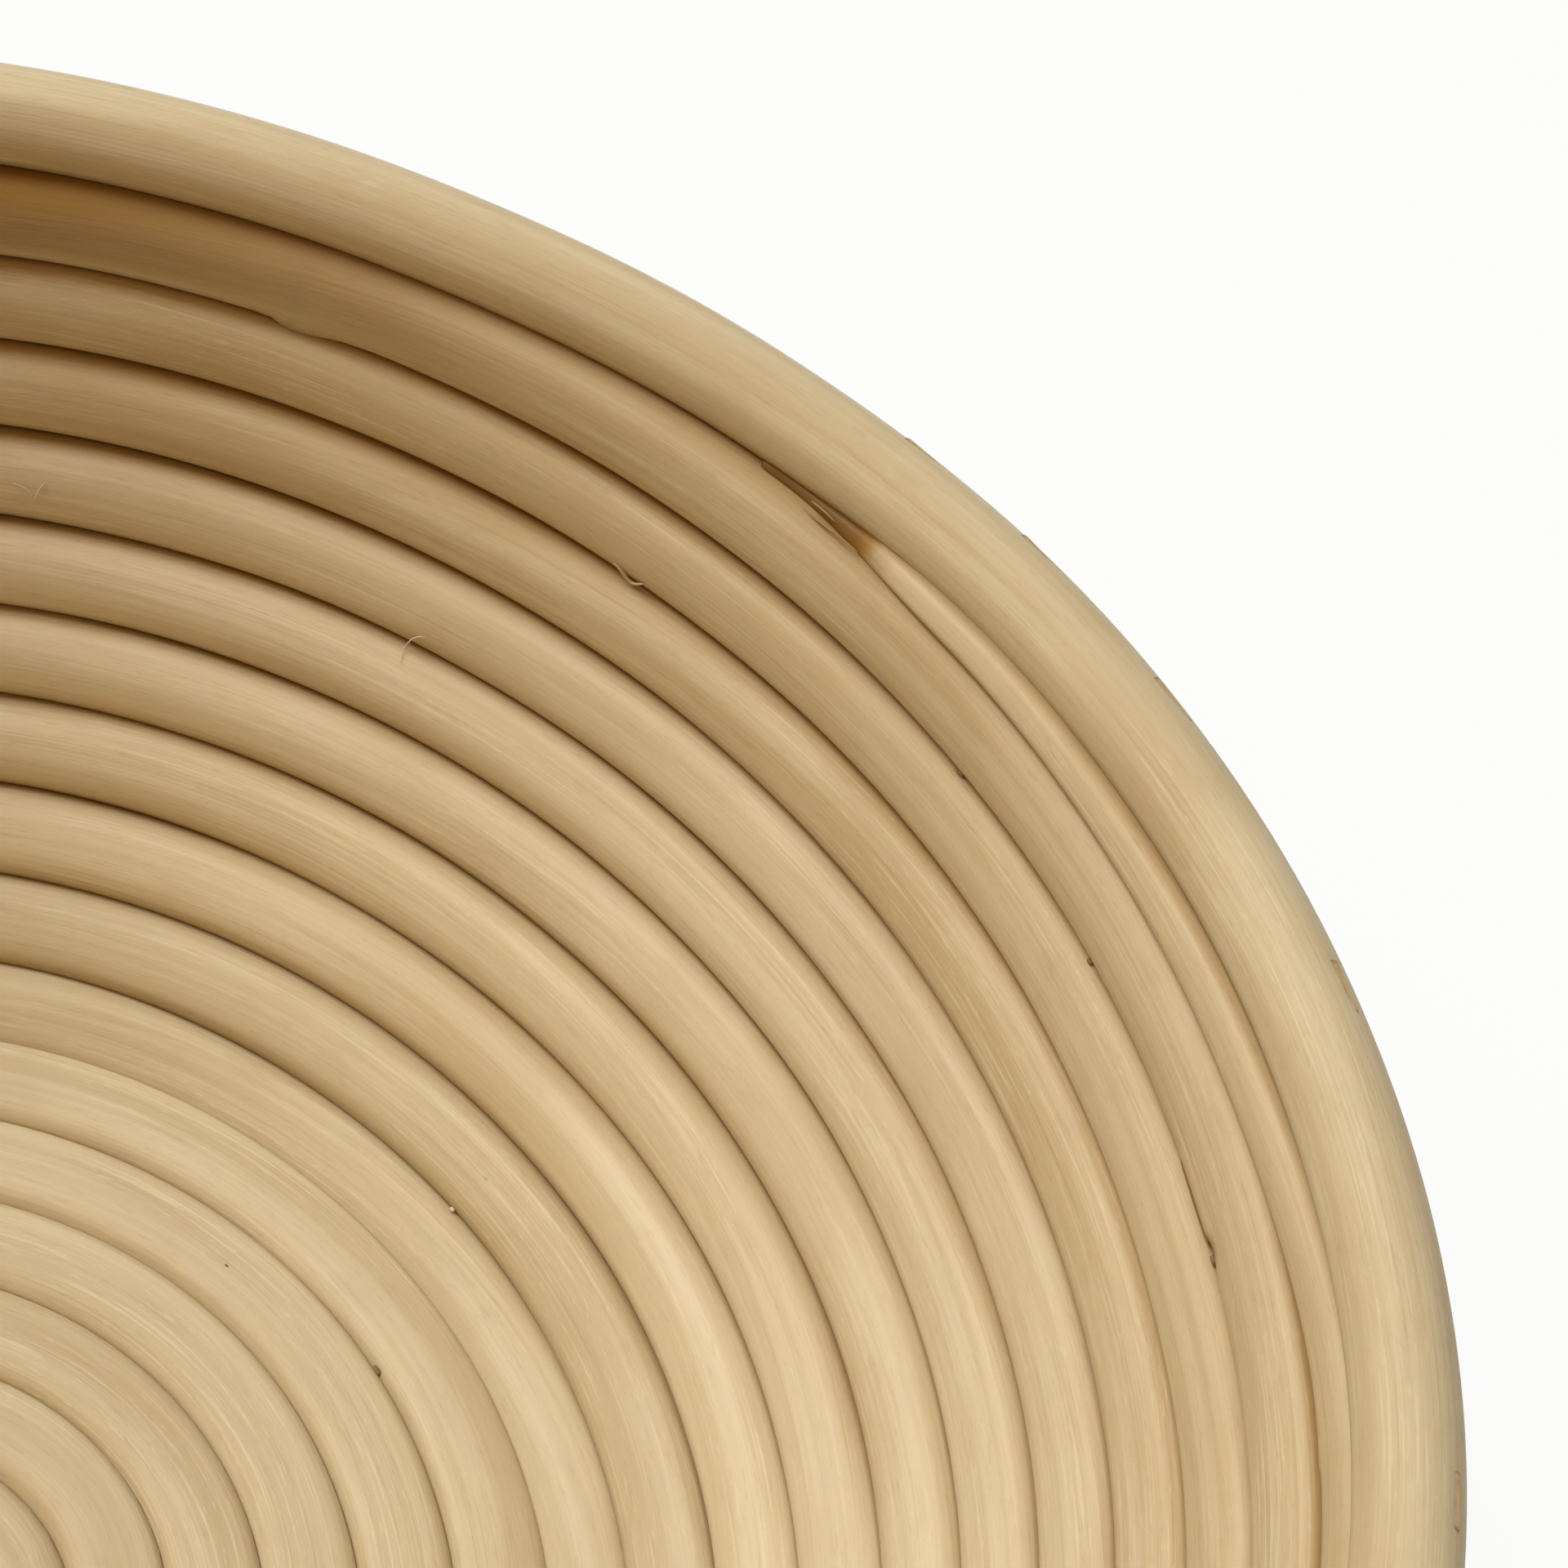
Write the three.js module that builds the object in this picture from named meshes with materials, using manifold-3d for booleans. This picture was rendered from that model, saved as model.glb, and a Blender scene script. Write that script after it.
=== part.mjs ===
// Bread proofing basket: a coil of round cane that starts flat as the floor and climbs as the wall.
// Each turn is stapled down to the turn before it, and a thicker cane is stapled on as the rim.
// Millimetres, +Z up. The origin is on the basket's axis, in the plane that it stands on.
import * as THREE from "three";
import { mergeVertices } from "three/addons/utils/BufferGeometryUtils.js";
import Module from "manifold-3d";

// Driving dimensions of the coil
const CANE_DIAMETER = 8.6; // round core cane of the floor and the wall
const TURN_GAP = 0.5; // clearance from each turn to the next
const FLOOR_RADIUS = 63.2; // flat floor, from the axis to the foot of the corner, at the middle of the cane
const CORNER_RADIUS = 8.5; // bend from the floor into the wall
const WALL_FOOT_SLOPE = 31.7; // degrees from level, where the wall leaves the corner
const WALL_CURVE_RADIUS = 111; // the wall steepens upwards along an arc of this radius
const WALL_TURNS = 10.498; // turns from the edge of the floor to the tapered tip under the rim
const FLAT_DEPTH = 0.86; // the cane's underside is worn flat by this much where the basket stands

// Driving dimensions of the cane's ends
const CENTRE_BEND_RADIUS = 5; // the tight bend that the coil starts with
const CENTRE_TIP_DIAMETER = 4.4; // the cane is thinned at that end
const CENTRE_TAPER = 0.4; // turns over which it grows to its full thickness
const TIP_ANGLE = 59.5; // degrees round from +X to the tapered tip under the rim
const TIP_DIAMETER = 1.9; // the tip, where it runs out between the wall and the rim
const TIP_TAPER = 57.5; // degrees over which the cane is pared down to the tip
const NECK_DIAMETER = 4.7; // the top length is this thick where that paring starts
const SCARF_LENGTH = 26; // slanted joint between two lengths of cane
const SCARF_GAP = 0.3; // clearance between the two faces of such a joint

// Where the coil is spliced, in turns
const FLOOR_CANE_SETBACK = 0.084; // the floor length ends this far before the corner
const FOOT_CANE_TURNS = 2.14;
const LOWER_CANE_TURNS = 1.9;
const MIDDLE_CANE_TURNS = 2.75;
const TOP_CANE_TURNS = 0.9347; // the top length, from its splice to the tip

// Driving dimensions of the rim
const RIM_CANE_DIAMETER = 8.9;
const RIM_LEAN = 56; // degrees above level at which the rim lies on the wall's outer shoulder, at the tip
const RIM_JOINT_ANGLE = 230; // degrees round from +X to the joint that closes the rim

// Driving dimensions of the staples
const CROWN_WIDTH = 6.2; // outside the legs, along the cane
const LEG_LENGTH = 14; // from the back of the crown to the points
const WIRE_THICKNESS = 0.7;
const WIRE_WIDTH = 1;
const STAPLE_CLEARANCE = 0.3; // between the wire and the hole that it has made
const RIM_STAPLE_ANGLES = [-1.2, 22.4, 37.9, 46.8, 53.6, 112, 142, 172, 202, 256, 284, 312, 338];
const WALL_STAPLES = { foot: 4, lower: 4, middle: 5, upper: 5, top: 3 };
const FLOOR_STAPLE_STEP = 1.1; // turns, at least, so that two on neighbouring turns never stand in line
const FIRST_STAPLED_TURN = 2.2; // the turns inside this one are held by their own bend
const STAPLE_INSET = 30; // from the middle of a splice to the nearest staple on that length

// How finely the round cane is faceted
const SIDES = 8;
const STEPS_PER_TURN = 24;
const RIM_STEPS = 36;

const TURN = 2 * Math.PI;
const radians = THREE.MathUtils.degToRad;
const PITCH = CANE_DIAMETER + TURN_GAP;
const CANE_RADIUS = CANE_DIAMETER / 2;
const RIM_RADIUS = RIM_CANE_DIAMETER / 2;
const FLOOR_HEIGHT = CANE_RADIUS - FLAT_DEPTH;

// Turns are counted along the coil from the axis, so one turn further is one pitch further out.
const FLOOR_TURNS = FLOOR_RADIUS / PITCH;
const TIP_TURN = FLOOR_TURNS + WALL_TURNS;
const TAPER_TURN = TIP_TURN - TIP_TAPER / 360;
const START_TURN = CENTRE_BEND_RADIUS / PITCH;
const FLOOR_SPLICE = FLOOR_TURNS - FLOOR_CANE_SETBACK;
const FOOT_SPLICE = FLOOR_SPLICE + FOOT_CANE_TURNS;
const LOWER_SPLICE = FOOT_SPLICE + LOWER_CANE_TURNS;
const MIDDLE_SPLICE = LOWER_SPLICE + MIDDLE_CANE_TURNS;
const TOP_SPLICE = TIP_TURN - TOP_CANE_TURNS;

const angleOf = (turn) => radians(TIP_ANGLE) + (turn - TIP_TURN) * TURN;
const turnAt = (degrees) => TIP_TURN - 1 + THREE.MathUtils.euclideanModulo(degrees - TIP_ANGLE, 360) / 360;

// The meridian that the middle of the cane lies on: level floor, corner arc, then the wall's arc.
const CORNER_LENGTH = CORNER_RADIUS * radians(WALL_FOOT_SLOPE);
function meridian(length) {
  const bend = THREE.MathUtils.clamp(length - FLOOR_RADIUS, 0, CORNER_LENGTH) / CORNER_RADIUS;
  const rise = Math.max(length - FLOOR_RADIUS - CORNER_LENGTH, 0) / WALL_CURVE_RADIUS;
  const slope = bend + rise;
  return {
    r:
      Math.min(length, FLOOR_RADIUS) +
      CORNER_RADIUS * Math.sin(bend) +
      WALL_CURVE_RADIUS * (Math.sin(slope) - Math.sin(bend)),
    z:
      FLOOR_HEIGHT +
      CORNER_RADIUS * (1 - Math.cos(bend)) +
      WALL_CURVE_RADIUS * (Math.cos(bend) - Math.cos(slope)),
    slope,
  };
}

const distance = (a, b) => Math.hypot(a.r - b.r, a.z - b.z);

// Cane radius along the coil: full, then thinned over the top length and pared down to the tip.
function wallRadius(turn) {
  if (turn <= TOP_SPLICE) return CANE_RADIUS;
  if (turn <= TAPER_TURN)
    return THREE.MathUtils.mapLinear(turn, TOP_SPLICE, TAPER_TURN, CANE_RADIUS, NECK_DIAMETER / 2);
  return THREE.MathUtils.mapLinear(turn, TAPER_TURN, TIP_TURN, NECK_DIAMETER / 2, TIP_DIAMETER / 2);
}

function caneRadius(turn) {
  const grown = THREE.MathUtils.clamp((turn - START_TURN) / CENTRE_TAPER, 0, 1);
  const thinned = THREE.MathUtils.lerp(CENTRE_TIP_DIAMETER / CANE_DIAMETER, 1, grown);
  return wallRadius(turn) * thinned;
}

// Each turn lies against the turn before it, so its place on the meridian follows from that one's.
function station(turn) {
  if (turn * PITCH <= FLOOR_RADIUS - PITCH) return turn * PITCH;
  const before = station(turn - 1);
  const below = meridian(before);
  const reach = wallRadius(turn) + wallRadius(turn - 1) + TURN_GAP;
  let near = before;
  let far = before + 2 * reach;
  while (far - near > 1e-6) {
    const middle = (near + far) / 2;
    if (distance(meridian(middle), below) < reach) near = middle;
    else far = middle;
  }
  return near;
}

// The rim is a hoop, round in plan, which rides up and down on the top turn of the wall.
const TIP_SEAT = meridian(station(TIP_TURN - 1));
const RIM_HOOP_RADIUS = TIP_SEAT.r + (CANE_RADIUS + RIM_RADIUS + TURN_GAP) * Math.cos(radians(RIM_LEAN));

function heightOnCane(turn) {
  const seat = meridian(station(turn));
  const reach = wallRadius(turn) + RIM_RADIUS + TURN_GAP;
  return seat.z + Math.sqrt(reach ** 2 - (RIM_HOOP_RADIUS - seat.r) ** 2);
}

function rimCentre(turn) {
  const wrapped = TIP_TURN - 1 + THREE.MathUtils.euclideanModulo(turn - TIP_TURN + 1, 1);
  const share = THREE.MathUtils.smoothstep(wrapped, TAPER_TURN, TIP_TURN);
  const high = heightOnCane(Math.min(wrapped, TAPER_TURN));
  const z = THREE.MathUtils.lerp(high, heightOnCane(TIP_TURN - 1), share);
  return { r: RIM_HOOP_RADIUS, z, slope: radians(RIM_LEAN) };
}

// The pared tip lies in the crook between the turn below it and the rim, on the inside of the basket.
function crook(below, above, radius) {
  const fromBelow = CANE_RADIUS + radius + TURN_GAP;
  const fromAbove = RIM_RADIUS + radius + TURN_GAP;
  const span = distance(below, above);
  const along = (fromBelow ** 2 - fromAbove ** 2 + span ** 2) / (2 * span);
  const aside = Math.sqrt(Math.max(fromBelow ** 2 - along ** 2, 0));
  const r = (above.r - below.r) / span;
  const z = (above.z - below.z) / span;
  return { r: below.r + along * r - aside * z, z: below.z + along * z + aside * r, slope: Math.atan2(z, r) };
}

function coilCentre(turn) {
  if (turn <= TAPER_TURN) return meridian(station(turn));
  return crook(coilCentre(turn - 1), rimCentre(turn), wallRadius(turn));
}

// A rim staple goes into the top turn, or where that is pared too thin to hold one, into the turn below it.
const rimSeat = (turn) => coilCentre(turn <= TAPER_TURN ? turn : turn - 1);

// A cane as rings of points. Rings are slanted along the cane, so its two ends are scarf faces.
function sweepCane({ start, end, step, centre, radius, slantStart, slantEnd }) {
  const turns = [start];
  const first = start + THREE.MathUtils.euclideanModulo(turnAt(0) - start, step);
  for (let turn = first; turn < end - step / 3; turn += step) if (turn > start + step / 3) turns.push(turn);
  turns.push(end);
  const points = [];
  for (const turn of turns) {
    const share = (turn - start) / (end - start);
    const slant = THREE.MathUtils.lerp(slantStart, slantEnd, share) / 2;
    const circumference = TURN * centre(turn).r;
    for (let side = 0; side < SIDES; side++) {
      const around = (side / SIDES) * TURN;
      const own = turn + (slant * Math.sin(around)) / circumference;
      const c = centre(own);
      const along = radius(turn) * Math.cos(around);
      const outward = radius(turn) * Math.sin(around);
      const r = c.r + along * Math.cos(c.slope) + outward * Math.sin(c.slope);
      const z = c.z + along * Math.sin(c.slope) - outward * Math.cos(c.slope);
      points.push(new THREE.Vector3(r * Math.cos(angleOf(own)), r * Math.sin(angleOf(own)), z));
    }
  }
  return points;
}

function tubeGeometry(points) {
  const rings = points.length / SIDES;
  const index = [];
  for (let ring = 0; ring + 1 < rings; ring++)
    for (let side = 0; side < SIDES; side++) {
      const a = ring * SIDES + side;
      const b = ring * SIDES + ((side + 1) % SIDES);
      index.push(a, b, a + SIDES, b, b + SIDES, a + SIDES);
    }
  const last = (rings - 1) * SIDES;
  for (let side = 1; side + 1 < SIDES; side++)
    index.push(0, side + 1, side, last, last + side, last + side + 1);
  return new THREE.BufferGeometry().setFromPoints(points).setIndex(index);
}

// The least gap between points of one cane that lie half a turn or more apart along it.
function leastGap(points, stepsPerTurn) {
  let least = Infinity;
  const apart = (SIDES * stepsPerTurn) / 2;
  for (let i = 0; i < points.length; i++)
    for (let j = i + apart; j < points.length; j++) least = Math.min(least, points[i].distanceTo(points[j]));
  return least;
}

const wasm = await Module();
wasm.setup();

function solidOf(geometry) {
  const bare = geometry.clone().deleteAttribute("normal").deleteAttribute("uv");
  const merged = mergeVertices(bare);
  const vertProperties = new Float32Array(merged.getAttribute("position").array);
  const triVerts = new Uint32Array(merged.index.array);
  return new wasm.Manifold(new wasm.Mesh({ numProp: 3, vertProperties, triVerts }));
}

function geometryOf(solid) {
  const { vertProperties, triVerts } = solid.getMesh();
  const geometry = new THREE.BufferGeometry();
  geometry.setAttribute("position", new THREE.BufferAttribute(vertProperties, 3));
  geometry.setIndex(new THREE.BufferAttribute(triVerts, 1));
  geometry.computeVertexNormals();
  return geometry;
}

// A staple, or with room around it the hole that it makes, with the crown's back at y = 0 and legs along +y.
function stapleGeometry(room) {
  const half = CROWN_WIDTH / 2 + room;
  const inner = CROWN_WIDTH / 2 - WIRE_THICKNESS - room;
  const back = -room;
  const bridge = WIRE_THICKNESS + room;
  const point = LEG_LENGTH + room;
  const outline = new THREE.Shape([
    new THREE.Vector2(-half, back),
    new THREE.Vector2(half, back),
    new THREE.Vector2(half, point),
    new THREE.Vector2(inner, point),
    new THREE.Vector2(inner, bridge),
    new THREE.Vector2(-inner, bridge),
    new THREE.Vector2(-inner, point),
    new THREE.Vector2(-half, point),
  ]);
  const depth = WIRE_WIDTH + 2 * room;
  return new THREE.ExtrudeGeometry(outline, { depth, bevelEnabled: false }).translate(0, 0, -depth / 2);
}

// A staple is driven through one cane towards the middle of the next, with its crown along the cane.
function staplePlace(angle, through, radius, into) {
  const span = distance(through, into);
  const r = (into.r - through.r) / span;
  const z = (into.z - through.z) / span;
  const tangent = new THREE.Vector3(-Math.sin(angle), Math.cos(angle), 0);
  const drive = new THREE.Vector3(r * Math.cos(angle), r * Math.sin(angle), z);
  const place = new THREE.Matrix4().makeBasis(tangent, drive, tangent.clone().cross(drive));
  const crownR = through.r - r * radius;
  return place.setPosition(crownR * Math.cos(angle), crownR * Math.sin(angle), through.z - z * radius);
}

function coilStaplePlace(turn) {
  return staplePlace(angleOf(turn), coilCentre(turn), caneRadius(turn), coilCentre(turn - 1));
}

function rimStaplePlace(degrees) {
  const turn = turnAt(degrees);
  return staplePlace(radians(degrees), rimCentre(turn), RIM_RADIUS, rimSeat(turn));
}

// A gap square to a scarf's slanted face is wider along the cane: here in turns, to each side of the joint.
function scarfHalfGap(radius, hoop) {
  const slant = Math.hypot(SCARF_LENGTH / 2, radius) / radius;
  return (SCARF_GAP * slant) / 2 / (TURN * hoop);
}
const spliceHalfGap = (turn) => scarfHalfGap(CANE_RADIUS, coilCentre(turn).r);

// The lengths of cane that make the coil, from the centre out
const LENGTHS = [
  { name: "floor", node: "floor_cane", from: START_TURN, to: FLOOR_SPLICE },
  { name: "foot", node: "foot_wall_cane", from: FLOOR_SPLICE, to: FOOT_SPLICE },
  { name: "lower", node: "lower_wall_cane", from: FOOT_SPLICE, to: LOWER_SPLICE },
  { name: "middle", node: "middle_wall_cane", from: LOWER_SPLICE, to: MIDDLE_SPLICE },
  { name: "upper", node: "upper_wall_cane", from: MIDDLE_SPLICE, to: TOP_SPLICE },
  { name: "top", node: "top_wall_cane", from: TOP_SPLICE, to: TIP_TURN },
];

function coilStapleTurns({ name, from, to }) {
  const inset = (turn) => STAPLE_INSET / (TURN * coilCentre(turn).r);
  const first = Math.max(from + inset(from), FIRST_STAPLED_TURN);
  const sound = Math.min(to, TAPER_TURN);
  const last = sound - inset(sound);
  const count = WALL_STAPLES[name] ?? Math.floor((last - first) / FLOOR_STAPLE_STEP) + 1;
  return Array.from({ length: count }, (_, n) => THREE.MathUtils.lerp(first, last, n / (count - 1)));
}

const coilPlaces = LENGTHS.flatMap(coilStapleTurns).map(coilStaplePlace);
const rimPlaces = RIM_STAPLE_ANGLES.map(rimStaplePlace);
const hole = solidOf(stapleGeometry(STAPLE_CLEARANCE));
const holes = [...coilPlaces, ...rimPlaces].map((place) => hole.transform(place.elements));

// The basket stands on a plane, and the undersides of the canes there are worn level with it.
const below = new THREE.BoxGeometry(4 * RIM_HOOP_RADIUS, 4 * RIM_HOOP_RADIUS, CANE_DIAMETER);
const ground = solidOf(below.translate(0, 0, -CANE_DIAMETER / 2));

function cutCane(points) {
  const standing = solidOf(tubeGeometry(points)).subtract(ground);
  return geometryOf(holes.reduce((cane, one) => cane.subtract(one), standing));
}

const canePaint = (color) => new THREE.MeshStandardMaterial({ color, roughness: 0.62, metalness: 0 });
const steel = () => new THREE.MeshStandardMaterial({ color: 0xb4b2ab, roughness: 0.4, metalness: 1 });
const CANE_COLOURS = [0xd2b27e, 0xcfae78, 0xd4b581, 0xd6b885, 0xd9bd8c, 0xdcc294];

const basket = new THREE.Group();
function addPiece(name, geometry, material) {
  const mesh = new THREE.Mesh(geometry, material);
  mesh.name = name;
  basket.add(mesh);
  return mesh;
}

LENGTHS.forEach(({ name, node, from, to }, n) => {
  const isFirst = name === "floor";
  const isLast = name === "top";
  const points = sweepCane({
    start: isFirst ? from : from + spliceHalfGap(from),
    end: isLast ? to : to - spliceHalfGap(to),
    step: 1 / STEPS_PER_TURN,
    centre: coilCentre,
    radius: caneRadius,
    slantStart: isFirst ? 0 : SCARF_LENGTH,
    slantEnd: isLast ? 0 : SCARF_LENGTH,
  });
  const gap = leastGap(points, STEPS_PER_TURN);
  console.log(node, "turns", (to - from).toFixed(2), "least gap", gap.toFixed(2));
  addPiece(node, cutCane(points), canePaint(CANE_COLOURS[n]));
});

const rimJoint = turnAt(RIM_JOINT_ANGLE);
const rimHalfGap = scarfHalfGap(RIM_RADIUS, RIM_HOOP_RADIUS);
const rimPoints = sweepCane({
  start: rimJoint + rimHalfGap,
  end: rimJoint + 1 - rimHalfGap,
  step: 1 / RIM_STEPS,
  centre: rimCentre,
  radius: () => RIM_RADIUS,
  slantStart: SCARF_LENGTH,
  slantEnd: SCARF_LENGTH,
});
addPiece("rim_cane", cutCane(rimPoints), canePaint(0xdfc79c));

function addStaple(kind, place, n) {
  const name = kind + "_" + String(n + 1).padStart(2, "0");
  addPiece(name, stapleGeometry(0), steel()).applyMatrix4(place);
}
coilPlaces.forEach((place, n) => addStaple("coil_staple", place, n));
rimPlaces.forEach((place, n) => addStaple("rim_staple", place, n));

const box = new THREE.Box3().setFromObject(basket).getSize(new THREE.Vector3());
console.log("basket", box.x.toFixed(1), "x", box.y.toFixed(1), "x", box.z.toFixed(1), "mm");

export default basket;
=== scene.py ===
# %% [markdown]
# A round bread proofing basket, wound from one long coil of cane
#
# The basket is a spiral of round cane. It starts flat as the floor, climbs as the wall, and a thicker cane
# is stapled on as the rim. This lesson dresses the solid model of that basket. Every cane is swept again at
# its full thickness, with the small faults of a natural rod, and gets a finish with stripes, fine grain and
# a dull sheen.

# %% Load the solid model
import math

import bpy
import numpy as np
from mathutils import Matrix, Vector


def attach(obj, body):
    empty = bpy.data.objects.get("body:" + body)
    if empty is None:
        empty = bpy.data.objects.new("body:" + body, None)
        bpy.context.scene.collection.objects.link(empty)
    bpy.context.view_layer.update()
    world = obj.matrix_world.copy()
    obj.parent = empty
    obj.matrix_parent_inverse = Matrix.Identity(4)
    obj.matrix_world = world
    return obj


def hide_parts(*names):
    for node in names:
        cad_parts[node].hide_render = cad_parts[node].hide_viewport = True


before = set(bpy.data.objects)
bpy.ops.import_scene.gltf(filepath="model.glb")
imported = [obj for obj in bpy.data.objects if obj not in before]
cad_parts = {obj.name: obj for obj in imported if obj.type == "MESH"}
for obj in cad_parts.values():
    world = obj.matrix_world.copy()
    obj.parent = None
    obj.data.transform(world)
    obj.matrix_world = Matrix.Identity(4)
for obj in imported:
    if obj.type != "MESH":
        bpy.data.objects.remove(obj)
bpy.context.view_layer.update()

# %% [markdown]
# The sizes that the coil follows
#
# A coil could be drawn by hand as a curve, but every turn lies against the turn before it, so a few sizes
# fix the whole path. They are the sizes of the solid model, in metres. In the solids the turns stand a
# little apart. On the real basket they touch, so here each cane swells by half of that gap and a trace.

# %% Sizes of the coil
MM = 0.001
CANE_RADIUS = 4.3 * MM
TURN_GAP = 0.5 * MM
PITCH = 2 * CANE_RADIUS + TURN_GAP
TOUCH = 0.08 * MM
SWELL = TURN_GAP / 2 + TOUCH

FLOOR_RADIUS = 63.2 * MM
WORN_FLAT = 0.86 * MM
FLOOR_HEIGHT = CANE_RADIUS - WORN_FLAT
CORNER_RADIUS = 8.5 * MM
WALL_FOOT_SLOPE = math.radians(31.7)
CORNER_LENGTH = CORNER_RADIUS * WALL_FOOT_SLOPE
WALL_CURVE_RADIUS = 111 * MM

# Places along the coil are counted in turns from its centre.
START_RADIUS = 5 * MM
START_TURN = START_RADIUS / PITCH
FLOOR_TURNS = FLOOR_RADIUS / PITCH
WALL_TURNS = 10.498
TIP_TURN = FLOOR_TURNS + WALL_TURNS
TIP_ANGLE = math.radians(59.5)
PARED_TURNS = 57.5 / 360
TAPER_TURN = TIP_TURN - PARED_TURNS
FLOOR_SPLICE = FLOOR_TURNS - 0.084
FOOT_SPLICE = FLOOR_SPLICE + 2.14
LOWER_SPLICE = FOOT_SPLICE + 1.9
MIDDLE_SPLICE = LOWER_SPLICE + 2.75
TOP_SPLICE = TIP_TURN - 0.9347

NECK_RADIUS = 2.35 * MM
TIP_RADIUS = 0.95 * MM
CENTRE_TIP_SHARE = 4.4 / 8.6
CENTRE_TAPER = 0.4

RIM_RADIUS = 4.45 * MM
RIM_SWELL = 0.25 * MM
RIM_LEAN = math.radians(56)
RIM_JOINT_ANGLE = math.radians(230)
print("turns of cane", round(TIP_TURN - START_TURN, 2))

# %% [markdown]
# The path of the cane
#
# The middle of the cane follows a profile: level floor, a corner arc, then a wall that steepens along a
# wide arc. One turn further along the coil lies one cane further up that profile. On the wall the distance
# is measured straight across, from cane to cane, so it is found by halving an interval until they touch.

# %% The profile
def meridian(length):
    """Radius, height and slope of the cane's middle, after a length along the profile."""
    bend = np.clip(length - FLOOR_RADIUS, 0, CORNER_LENGTH) / CORNER_RADIUS
    rise = np.maximum(length - FLOOR_RADIUS - CORNER_LENGTH, 0) / WALL_CURVE_RADIUS
    slope = bend + rise
    r = (np.minimum(length, FLOOR_RADIUS) + CORNER_RADIUS * np.sin(bend)
         + WALL_CURVE_RADIUS * (np.sin(slope) - np.sin(bend)))
    z = (FLOOR_HEIGHT + CORNER_RADIUS * (1 - np.cos(bend))
         + WALL_CURVE_RADIUS * (np.cos(bend) - np.cos(slope)))
    return r, z, slope


foot_slope = float(meridian(FLOOR_RADIUS + CORNER_LENGTH)[2])
print("slope at the foot of the wall", round(math.degrees(foot_slope), 1), "degrees")

# %% The thickness and the station at each turn
HALVINGS = 40


def wall_radius(turn):
    """Full thickness up to the last splice, then thinner to the neck, then pared down to the tip."""
    return np.interp(turn, [TOP_SPLICE, TAPER_TURN, TIP_TURN], [CANE_RADIUS, NECK_RADIUS, TIP_RADIUS])


def cane_radius(turn):
    """The same, with the pared start in the middle of the floor."""
    grown = np.interp(turn, [START_TURN, START_TURN + CENTRE_TAPER], [CENTRE_TIP_SHARE, 1])
    return wall_radius(turn) * grown


def station(turn):
    """How far along the profile the cane is at each turn."""
    length = turn * PITCH
    climbing = length > FLOOR_RADIUS - PITCH
    if not climbing.any():
        return length
    before = station(turn[climbing] - 1)
    r0, z0, _ = meridian(before)
    reach = wall_radius(turn[climbing]) + wall_radius(turn[climbing] - 1) + TURN_GAP
    near, far = before, before + 2 * reach
    for _ in range(HALVINGS):
        middle = (near + far) / 2
        r, z, _ = meridian(middle)
        short = np.hypot(r - r0, z - z0) < reach
        near, far = np.where(short, middle, near), np.where(short, far, middle)
    length[climbing] = near
    return length


def on_profile(turn):
    """Radius, height and slope of an even coil at each turn."""
    return meridian(station(np.array(turn, dtype=float)))


print("middle of the top turn", round(float(on_profile([TAPER_TURN])[1][0]) / MM, 1), "mm high")

# %% [markdown]
# The rim, and the pared end of the coil under it
#
# The rim is nearly a true hoop in plan, and rides on the top turn, so it rises and falls with it. The last
# turn is pared to a thin tip, which lies in the crook between the wall and the rim. Both follow from circles
# that touch. A bent rod is never quite round, so low humps are added to the rim and to the upper wall.

# %% Angles, and rods that are not quite round
def turn_at(angle):
    """The place on the last turn of the coil at an angle round the basket."""
    return TIP_TURN - 1 + np.mod(angle - TIP_ANGLE, 2 * np.pi) / (2 * np.pi)


def angle_of(turn):
    """The angle round the basket at a place on the coil."""
    return TIP_ANGLE + (turn - TIP_TURN) * 2 * np.pi


def smoothstep(value, low, high):
    """0 below low, 1 above high, and a smooth rise between them."""
    share = np.clip((value - low) / (high - low), 0, 1)
    return share * share * (3 - 2 * share)


def hump(angle, middle, width):
    """1 at one angle, falling smoothly to 0 round it. The middle and the width are in degrees."""
    away = np.mod(np.degrees(angle) - middle + 180, 360) - 180
    return np.exp(-(away / width) ** 2)


def stand_out(angle, humps):
    """How far a bent rod stands out from a true circle. A hump has its height in millimetres first."""
    return sum(height * hump(angle, middle, width) for height, middle, width in humps) * MM


RIM_HUMPS = [(1.2, 104, 11), (-1.0, 76, 13), (0.35, 46, 10), (-0.3, 16, 14)]
WALL_HUMPS = [(1.4, 101, 22), (1.5, -6, 18)]
print("humps on the rim", len(RIM_HUMPS), "and on the upper wall", len(WALL_HUMPS))

# %% The rim's path
RIM_HOOP_RADIUS = (on_profile([TIP_TURN - 1])[0][0]
                   + (CANE_RADIUS + RIM_RADIUS + TURN_GAP) * math.cos(RIM_LEAN))


def height_on_cane(turn):
    """How high the rim's middle is where it lies on the coil."""
    r, z, _ = on_profile(turn)
    reach = wall_radius(turn) + RIM_RADIUS + TURN_GAP
    return z + np.sqrt(reach ** 2 - (RIM_HOOP_RADIUS - r) ** 2)


def rim_centre(turn):
    """Radius, height and lean of the rim. Over the pared end it comes down to the turn below."""
    wrapped = TIP_TURN - 1 + np.mod(turn - TIP_TURN + 1, 1)
    share = smoothstep(wrapped, TAPER_TURN, TIP_TURN)
    high = height_on_cane(np.minimum(wrapped, TAPER_TURN))
    low = height_on_cane(np.full_like(wrapped, TIP_TURN - 1))
    z = high + (low - high) * share
    return RIM_HOOP_RADIUS + stand_out(angle_of(wrapped), RIM_HUMPS), z, np.full_like(z, RIM_LEAN)


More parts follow.
